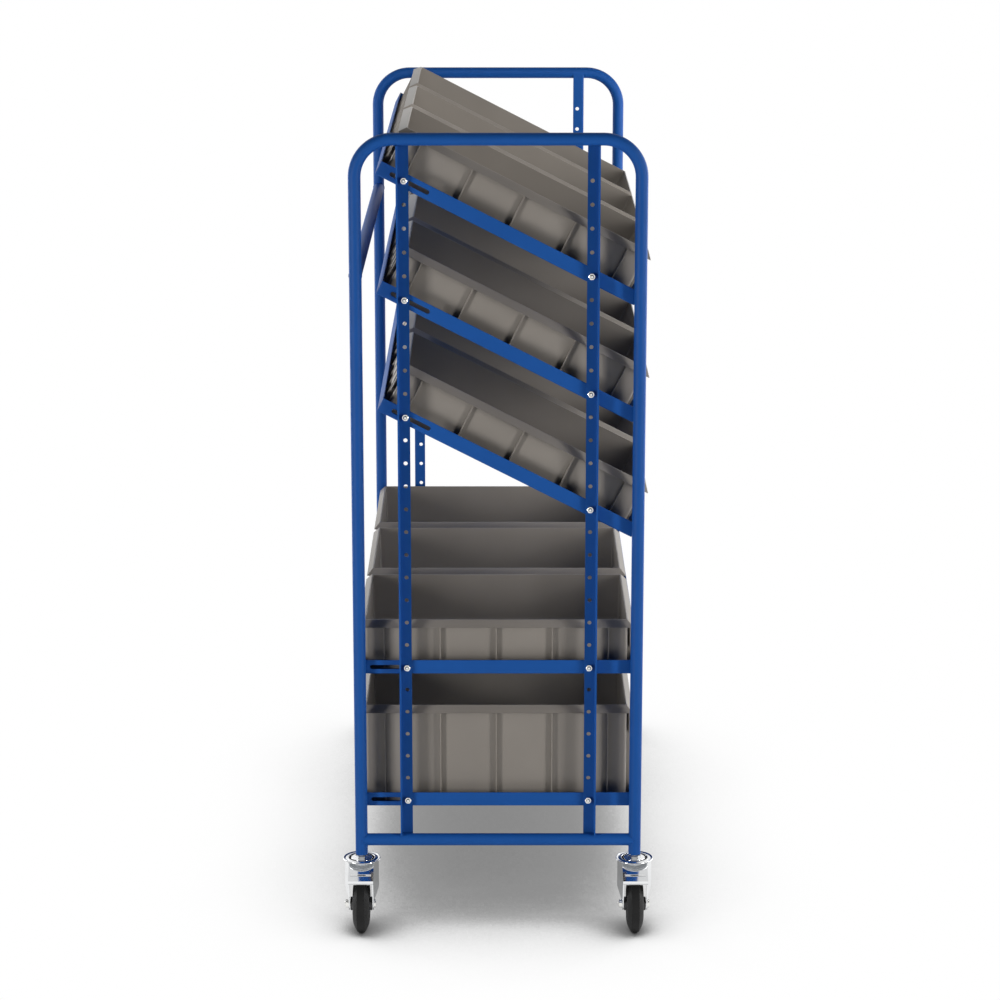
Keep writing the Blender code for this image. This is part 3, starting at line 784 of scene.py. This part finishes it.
def arc_plan(half_width, nose, radius):
    """The plan of the fork: straight from its nose to behind the ears, then on to a round back."""
    flare = FORK_EAR_R - TRAIL
    outline = [(-half_width, -nose), (half_width, -nose), (half_width, flare)]
    steps = 16
    for step in range(steps + 1):
        angle = math.pi * step / steps
        outline.append((radius * math.cos(angle), radius * math.sin(angle)))
    outline.append((-half_width, flare))
    return outline


def box_along_y(name, half_width, low, high, start, end):
    """A box from its half width along X, its two heights and its two ends along Y."""
    corners = [(-half_width, low), (half_width, low), (half_width, high), (-half_width, high)]
    return prism(name, corners, "Y", start, end)


def fork_mesh():
    """The fork: its two ears and the crown over the tyre, whose front slopes and has a slot and a lip."""
    nose_z = CROWN_TOP - CROWN_DROP
    clear = WHEEL_R + TYRE_CLEARANCE
    nose = TRAIL + math.sqrt(clear**2 - (nose_z - WHEEL_R) ** 2) + FORK_SHEET
    foot = WHEEL_R - FORK_EAR_R
    plan = arc_plan(FORK_HALF, nose, CROWN_R)
    inner_plan = arc_plan(FORK_HALF - FORK_SHEET, nose - FORK_SHEET, CROWN_R - FORK_SHEET)
    shell = prism("fork", plan, "Z", foot, CROWN_TOP)
    hollow = prism("hollow", inner_plan, "Z", foot - 0.01, CROWN_TOP - FORK_SHEET)
    out = 0.002
    reach = 0.07

    def brow(height, depth=0.0):
        """Where the sloping front of the crown is at a height, or a depth under its surface."""
        return -BROW_START - (CROWN_TOP - depth / math.cos(BROW_SLOPE) - height) / math.tan(BROW_SLOPE)

    low = CROWN_TOP - 0.05
    high = CROWN_TOP + out
    behind = brow(low, FORK_SHEET)
    wedge = [(behind, low), (brow(high, FORK_SHEET), high), (behind, high)]
    hollow = carved(hollow, "DIFFERENCE", prism("wedge", wedge, "X", -reach, reach))
    shell = carved(shell, "DIFFERENCE", hollow)
    nose_top = CROWN_TOP - (nose + out - BROW_START) * math.tan(BROW_SLOPE)
    side_view = [(brow(high), high), (-nose - out, nose_top), (-nose - out, nose_z)]
    side_view.append((-nose + FORK_SHEET + out / 2, nose_z))
    steps = 16
    for step in range(steps + 1):
        angle = math.pi + math.pi * step / steps
        y = -TRAIL + FORK_EAR_R * math.cos(angle)
        side_view.append((y, WHEEL_R + FORK_EAR_R * math.sin(angle)))
    ear_back = CROWN_TOP - 0.0635
    skirt = CROWN_TOP - 0.006
    side_view += [(0, ear_back), (0.004, skirt), (CROWN_R + out, skirt), (CROWN_R + out, high)]
    shell = carved(shell, "INTERSECT", prism("side", side_view, "X", -reach, reach))
    pin_hole_r = PIN_R + 0.0001
    pin_hole = lathe("pin", [(pin_hole_r, CROWN_TOP - 0.01), (pin_hole_r, CROWN_TOP + 0.01)], 28)
    axle_hole_r = AXLE_R + 0.0003
    axle_hole = lathe("axle", [(axle_hole_r, -0.05), (axle_hole_r, 0.05)], 28)
    moved(axle_hole, Matrix.Translation((0, -TRAIL, WHEEL_R)) @ Matrix.Rotation(math.pi / 2, 4, "Y"))
    slot_low = CROWN_TOP - 0.0190
    slot_high = CROWN_TOP - 0.0162
    slot_half = 0.0225
    slot = box_along_y("slot", slot_half, slot_low, slot_high, -nose - out, -BROW_START)
    shell = carved(shell, "DIFFERENCE", joined("holes", [pin_hole, axle_hole, slot]))
    shell = softened(shell, 0.0007, 3, 40)
    lip_half = FORK_HALF + 0.0004
    lip_rise = 0.0022
    lip = box_along_y("lip", lip_half, nose_z, nose_z + lip_rise, -nose - 0.0010, -nose + 0.0012)
    return joined("caster_fork", [shell, softened(lip, 0.0008, 2)], 14)


def head_mesh():
    """The fixed half of a caster: its dished disc, the race under it, its stem, nut and kingpin."""
    top = HEAD_TOP
    face = top - 0.0002
    dish = top - 0.0018
    groove = top - GROOVE_DEPTH
    bore = PIN_R + 0.0002
    disc_profile = [
        (bore, top - 0.0030),
        (0.0400, top - 0.0034),
        (0.0418, top - 0.0022),
        (0.0414, top - 0.0004),
        (0.0396, top),
        (0.0368, dish),
        (0.0340, dish),
        (0.0312, face),
        (GROOVE_OUT, face),
        (GROOVE_OUT, groove),
        (GROOVE_IN, groove),
        (GROOVE_IN, face),
        (0.0150, face),
        (bore, face),
    ]
    disc = lathe("disc", rounded(disc_profile, 0.0012, 3), 64, wrap=True, angle=50)
    race_low = top - 0.0042
    race_high = top - 0.0028
    race_profile = [
        (bore, race_low),
        (0.0255, race_low),
        (0.0285, top - 0.0036),
        (0.0300, race_high),
        (bore, race_high),
    ]
    race = lathe("race", rounded(race_profile, 0.0005, 2), 48, wrap=True, angle=50)
    stem = lathe("stem", [(STEM_R, top - 0.001), (STEM_R, STEM_TOP)], 40)
    nut_flats = 0.024
    nut_height = 0.0082
    nut = moved(hex_nut(nut_flats, nut_height), Matrix.Translation((0, 0, top - 0.0006)))
    core = 0.0015
    pin_top = top - 0.0030
    rivet = PIN_LOW + 0.0040
    pin_profile = [
        (core, pin_top),
        (PIN_R, pin_top),
        (PIN_R, rivet),
        (0.0100, rivet),
        (0.0098, PIN_LOW + 0.0007),
        (0.0080, PIN_LOW),
        (core, PIN_LOW),
    ]
    pin = lathe("kingpin", rounded(pin_profile, 0.0006, 2), 32, wrap=True)
    return joined("caster_head", [disc, race, stem, nut, pin], 40)


def groove_shade_ring_mesh():
    """A dark ring that lies in the groove of the swivel disc: painted shade standing in for the groove's
    own darkness.
    """
    gap = 0.0001
    inner = GROOVE_IN + gap
    outer = GROOVE_OUT - gap
    low = HEAD_TOP - GROOVE_DEPTH + gap
    high = HEAD_TOP - 0.0010
    shoulder = high - 0.0004
    slope = 0.0010
    profile = [(inner, low), (outer, low), (outer, shoulder)]
    profile += [(outer - slope, high), (inner + slope, high), (inner, shoulder)]
    return lathe("groove_shade_ring", profile, 64, wrap=True, angle=50)


def axle_mesh():
    """The axle bolt along X through both ears of the fork, with its washers and nut."""
    ear = FORK_HALF + 0.0003
    head_height = 0.0042
    nut_height = 0.0070
    head = moved(hex_nut(AXLE_FLATS, head_height), Matrix.Translation((0, 0, ear)))
    nut = moved(hex_nut(AXLE_FLATS, nut_height), Matrix.Translation((0, 0, -ear - nut_height)))
    washer_r = 0.0098
    washers = []
    for side in (1, -1):
        profile = [(washer_r, side * (ear - 0.0001)), (washer_r, side * (ear + 0.0006))]
        washers.append(lathe("washer", profile, 36))
    core = 0.0010
    near_end = ear + 0.001
    far_end = -ear - 0.0087
    chamfer = 0.0007
    shank = [(core, near_end), (AXLE_R, near_end), (AXLE_R, far_end + chamfer)]
    shank += [(0.0042, far_end), (core, far_end)]
    whole = joined("axle", [head, nut, *washers, lathe("shank", shank, 32)], 25)
    return moved(whole, Matrix.Rotation(math.pi / 2, 4, "Y"))


def wheel_part(name, half, angle, radius):
    """A turned part of a wheel round X, from the profile of its positive half."""
    profile = half + [(r, -across) for r, across in reversed(half)]
    closed = rounded(profile, radius, 4)
    mesh = lathe(name, closed, 96, wrap=True, angle=angle)
    return moved(mesh, Matrix.Rotation(math.pi / 2, 4, "Y"))


def hub_mesh():
    """The hub: its boss, web and felloe turned in one, with eight spokes on each side."""
    web_half = 0.0042
    felloe = RIM_R - 0.0045
    corner = 0.0008
    profile = [
        (AXLE_R + 0.0001, BOSS_HALF),
        (BOSS_R - corner, BOSS_HALF),
        (BOSS_R, BOSS_HALF - corner),
        (BOSS_R + 0.0002, web_half + 0.0006),
        (felloe - 0.0010, web_half),
        (felloe, RIM_HALF - 0.0010),
        (felloe + corner, RIM_HALF),
        (RIM_R - 0.0003, RIM_HALF),
    ]
    parts = [wheel_part("hub", profile, 40, 0.0006)]
    spokes = 8
    spoke_half = 0.0013
    root = BOSS_R - 0.0005
    tip = felloe + 0.0005
    foot = web_half - 0.001
    outline = [(root, foot), (tip, foot), (tip, RIM_HALF - 0.0040), (root, BOSS_HALF - 0.0050)]
    for side in (-1, 1):
        for number in range(spokes):
            spoke = softened(prism("spoke", outline, "Y", -spoke_half, spoke_half), 0.0004, 2)
            turn = Matrix.Rotation(2 * math.pi * number / spokes, 4, "X")
            stand = Matrix(((0, 0, side, 0), (0, 1, 0, 0), (1, 0, 0, 0), (0, 0, 0, 1)))
            parts.append(moved(spoke, turn @ stand))
    return joined("hub", parts, 40)


def tyre_mesh():
    """A solid tyre that swells in a round line from its tread band to its base on the rim."""
    base = RIM_R + 0.0003
    band = 0.0004
    corner = 0.0012
    steps = 14
    last_share = 0.94
    half = [(base, TYRE_HALF - corner), (base + 0.0010, TYRE_HALF - 0.0002)]
    for step in range(steps, -1, -1):
        share = last_share * step / steps
        radius = WHEEL_R - band - share * (WHEEL_R - band - base)
        half.append((radius, TREAD_HALF + (TYRE_HALF - TREAD_HALF) * math.sin(share * math.pi / 2)))
    half += [(WHEEL_R - 0.0001, TREAD_HALF - band), (WHEEL_R, TREAD_HALF - corner)]
    return wheel_part("tyre", half, 40, 0.0003)


def add_casters():
    """The four casters, with their wheels trailed outward past the ends."""
    head = head_mesh()
    fork = fork_mesh()
    axle = axle_mesh()
    hub = hub_mesh()
    tyre = tyre_mesh()
    groove_shade_ring = groove_shade_ring_mesh()
    for end, end_name in ((-1, "left"), (1, "right")):
        for side, side_name in ((-1, "rear"), (1, "front")):
            name = f"caster_{end_name}_{side_name}"
            turn = 0 if end < 0 else math.pi
            swivel = Matrix.Translation((side * LEG_X, end * END_Y, 0)) @ Matrix.Rotation(turn, 4, "Z")
            spin = swivel @ Matrix.Translation((0, -TRAIL, WHEEL_R))
            add(f"{name}_plate", head, CHROME, "frame", [f"{name}_head"], swivel)
            # A dark ring in each disc's groove, as painted shade
            add(f"{name}_seal", groove_shade_ring, RUBBER, "frame", (), swivel)
            add(f"{name}_yoke", fork, CHROME, f"{name}_swivel", [f"{name}_fork"], swivel)
            add(f"{name}_pin", axle, ZINC, f"{name}_swivel", [f"{name}_axle"], spin)
            add(f"{name}_centre", hub, HUB, f"{name}_wheel", [f"{name}_hub"], spin)
            add(f"{name}_rubber", tyre, RUBBER, f"{name}_wheel", [f"{name}_tyre"], spin)


# Stage


def painted_floor_shade(tree, reach, levels):
    """Painted shade for the floor: how much of the sky the trolley leaves open within a reach, read off
    as a level of white.
    """
    sky = add_node(tree, "ShaderNodeAmbientOcclusion", samples=16)
    sky.inputs["Distance"].default_value = reach
    return grey_ramp(tree, sky.outputs["AO"], levels)


def any_ray(tree, path, kinds):
    """One where a ray is of any of the kinds, and zero elsewhere."""
    result = path.outputs[kinds[0]]
    for kind in kinds[1:]:
        either = add_node(tree, "ShaderNodeMath", operation="MAXIMUM")
        link(tree, result, either.inputs[0])
        link(tree, path.outputs[kind], either.inputs[1])
        result = either.outputs[0]
    return result


def floor_material():
    """White floor: it is seen with a painted shadow, graded by how much of the sky the trolley hides from
    it.
    """
    material, tree, shader = new_material("pale_floor")
    tree.nodes.remove(shader)
    output = tree.nodes["Material Output"]
    path = add_node(tree, "ShaderNodeLightPath")
    grain = grey_ramp(tree, noise(tree, 2.0), [(0.3, 0.60), (0.7, 0.62)])
    bounce = add_node(tree, "ShaderNodeBsdfDiffuse")
    link(tree, grain, bounce.inputs["Color"])
    # Painted shadow: the broad shade and the contact shade multiplied, then given out as light to camera
    # and reflections
    shade = add_node(tree, "ShaderNodeMixRGB", blend_type="MULTIPLY")
    shade.inputs["Fac"].default_value = 1.0
    link(tree, painted_floor_shade(tree, SHADOW_REACH, PAINTED_FLOOR_SHADOW_LEVELS), shade.inputs["Color1"])
    link(tree, painted_floor_shade(tree, CONTACT_REACH, PAINTED_CONTACT_SHADOW_LEVELS), shade.inputs["Color2"])
    seen = add_node(tree, "ShaderNodeEmission")
    link(tree, shade.outputs["Color"], seen.inputs["Color"])
    choice = add_node(tree, "ShaderNodeMixShader")
    sight = any_ray(tree, path, ("Is Camera Ray", "Is Glossy Ray", "Is Transmission Ray"))
    link(tree, sight, choice.inputs[0])
    link(tree, bounce.outputs["BSDF"], choice.inputs[1])
    link(tree, seen.outputs["Emission"], choice.inputs[2])
    link(tree, choice.outputs["Shader"], output.inputs["Surface"])
    return material


def add_stage():
    """The floor, a hair under the tyres."""
    drop = 0.0004
    bpy.ops.mesh.primitive_plane_add(size=60.0, location=(0, 0, -drop))
    floor = bpy.context.object
    floor.name = "studio_floor"
    floor.data.materials.append(floor_material())


def area_light(name, place, target, size, power):
    data = bpy.data.lights.new(name, "AREA")
    data.shape = "RECTANGLE"
    data.size, data.size_y = size
    data.energy = power
    light = bpy.data.objects.new(name, data)
    bpy.context.collection.objects.link(light)
    light.location = place
    aim = Vector(target) - Vector(place)
    light.rotation_euler = aim.to_track_quat("-Z", "Y").to_euler()
    light.visible_camera = False


def world_level(tree, stops):
    """The level of the light from each direction, read along the world's Y."""
    place = add_node(tree, "ShaderNodeTexCoord")
    split = add_node(tree, "ShaderNodeSeparateXYZ")
    link(tree, place.outputs["Generated"], split.inputs["Vector"])
    along = add_node(tree, "ShaderNodeMapRange")
    along.inputs["From Min"].default_value = -1.0
    link(tree, split.outputs["Y"], along.inputs["Value"])
    return grey_ramp(tree, along.outputs["Result"], stops)


def strip_softbox(name, azimuth, elevation, power):
    """A tall narrow softbox at the object's middle height, turned round it from the camera's side."""
    turn = math.radians(azimuth)
    rise = math.radians(elevation)
    across = STRIP_REACH * math.sin(turn) * math.cos(rise)
    ahead = STRIP_REACH * math.cos(turn) * math.cos(rise)
    place = Vector(STRIP_TARGET) + Vector((across, -ahead, STRIP_REACH * math.sin(rise)))
    area_light(name, place, STRIP_TARGET, STRIP_SIZE, power)


def add_lights():
    """The softboxes, and a world that lights, is mirrored and is seen at three levels of its own."""
    strip_softbox("left_strip", azimuth=-47.5, elevation=2, power=96)
    strip_softbox("right_strip", azimuth=50, elevation=2, power=70)
    strip_softbox("right_high_strip", azimuth=55, elevation=22, power=30)
    area_light("right_skim", place=(1.6, -0.2, 1.5), target=(0, 0.5, 1.2), size=(0.6, 1.5), power=12)
    area_light("far_end_softbox", place=(0, -0.55, 2.45), target=(0, 2.0, 2.0), size=(1.2, 0.5), power=6)
    for side, word in ((-1, "left"), (1, "right")):
        area_light(f"{word}_rear_softbox", (side * 2.4, 1.5, 1.2), REAR_TARGET, REAR_SIZE, power=34)
    world = bpy.data.worlds.new("studio")
    bpy.context.scene.world = world
    world.use_nodes = True
    tree = world.node_tree
    ambient = tree.nodes["Background"]
    link(tree, world_level(tree, AMBIENT_LEVELS), ambient.inputs["Color"])
    mirror = add_node(tree, "ShaderNodeBackground")
    link(tree, world_level(tree, MIRROR_LEVELS), mirror.inputs["Color"])
    white = add_node(tree, "ShaderNodeBackground")
    white.inputs["Color"].default_value = (1, 1, 1, 1)
    path = add_node(tree, "ShaderNodeLightPath")
    first = add_node(tree, "ShaderNodeMixShader")
    link(tree, any_ray(tree, path, ("Is Glossy Ray", "Is Transmission Ray")), first.inputs[0])
    link(tree, ambient.outputs["Background"], first.inputs[1])
    link(tree, mirror.outputs["Background"], first.inputs[2])
    last = add_node(tree, "ShaderNodeMixShader")
    link(tree, path.outputs["Is Camera Ray"], last.inputs[0])
    link(tree, first.outputs["Shader"], last.inputs[1])
    link(tree, white.outputs["Background"], last.inputs[2])
    link(tree, last.outputs["Shader"], tree.nodes["World Output"].inputs["Surface"])


def add_camera():
    """The camera, which faces the left end from a little above the trolley."""
    data = bpy.data.cameras.new("camera")
    data.sensor_width = 36.0
    data.lens = 109.8
    data.shift_x = 0.0019
    data.clip_end = 100
    camera = bpy.data.objects.new("camera", data)
    bpy.context.collection.objects.link(camera)
    camera.location = (0, -7.019, 2.5515)
    camera.rotation_euler = (math.radians(90 - CAMERA_TILT), 0, 0)
    bpy.context.scene.camera = camera


add_frame()
add_shelves()
add_casters()
add_stage()
add_lights()
add_camera()
bpy.context.scene.view_settings.view_transform = "Standard"
